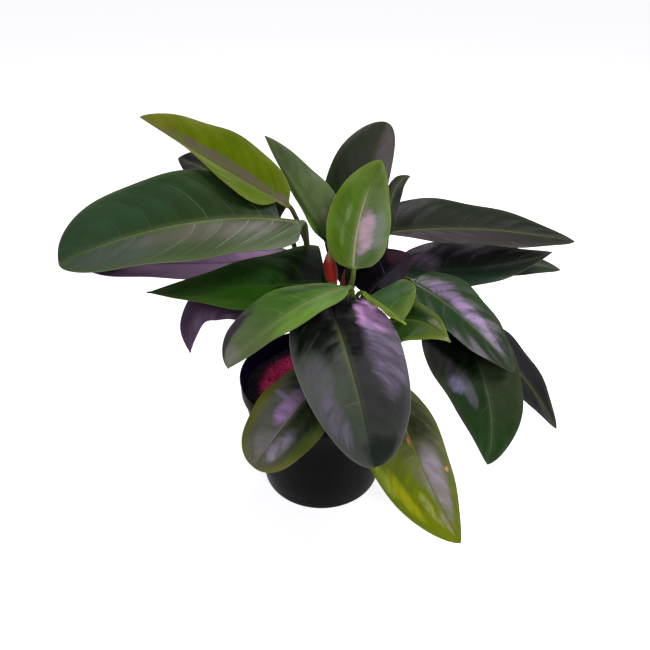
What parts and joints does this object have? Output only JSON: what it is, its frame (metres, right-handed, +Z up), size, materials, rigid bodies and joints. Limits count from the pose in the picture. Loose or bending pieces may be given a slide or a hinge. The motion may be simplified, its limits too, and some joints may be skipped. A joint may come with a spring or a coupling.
{
  "type": "potted philodendron",
  "caption": "Bushy self-heading philodendron with broad dark leaves on long stalks, growing from a short stem in a round plastic nursery pot.",
  "frame": {"origin": "centre of the pot's flat underside, where the plant stands", "axes": "+Z up through the pot, -Y towards the front of the plant, where the largest leaf hangs, +X to the right seen from the front"},
  "size_m": [0.5104, 0.3694, 0.3775],
  "materials": {
    "pot": "satin black moulded plastic",
    "soil": "crumbly reddish brown potting mix",
    "stem": "smooth green stem with leaf scars",
    "sheath": "satin orange red sheath",
    "scale": "dry maroon scale",
    "leaf_dark": "glossy dark green upper side, plum underside",
    "leaf_green": "glossy mid green",
    "leaf_lime": "glossy yellow green",
    "leaf_plum": "satin dark purple"
  },
  "bodies": {
    "root": {"pot": "pot", "soil": "soil", "stem": "stem", "bud_sheath": "sheath", "bud_scale": "scale", "leaf_left_broad": "leaf_dark", "leaf_back_left_lime": "leaf_lime", "leaf_back_left_dark": "leaf_dark", "leaf_left_under": "leaf_plum", "leaf_left_low": "leaf_dark", "leaf_left_drooping": "leaf_plum", "leaf_front_left": "leaf_green", "leaf_front_large": "leaf_dark", "leaf_front_low_left": "leaf_dark", "leaf_front_low_right": "leaf_lime", "leaf_right_drooping": "leaf_dark", "leaf_right_glossy": "leaf_dark", "leaf_young_folded": "leaf_green", "leaf_young_small": "leaf_green", "leaf_right_broad": "leaf_dark", "leaf_right_under": "leaf_dark", "leaf_right_back": "leaf_dark", "leaf_right_low": "leaf_plum", "leaf_back_dark": "leaf_dark", "leaf_centre_upright": "leaf_green", "leaf_back_pointed": "leaf_green", "leaf_back_small": "leaf_dark", "leaf_centre_small": "leaf_plum"}
  },
  "joints": []
}
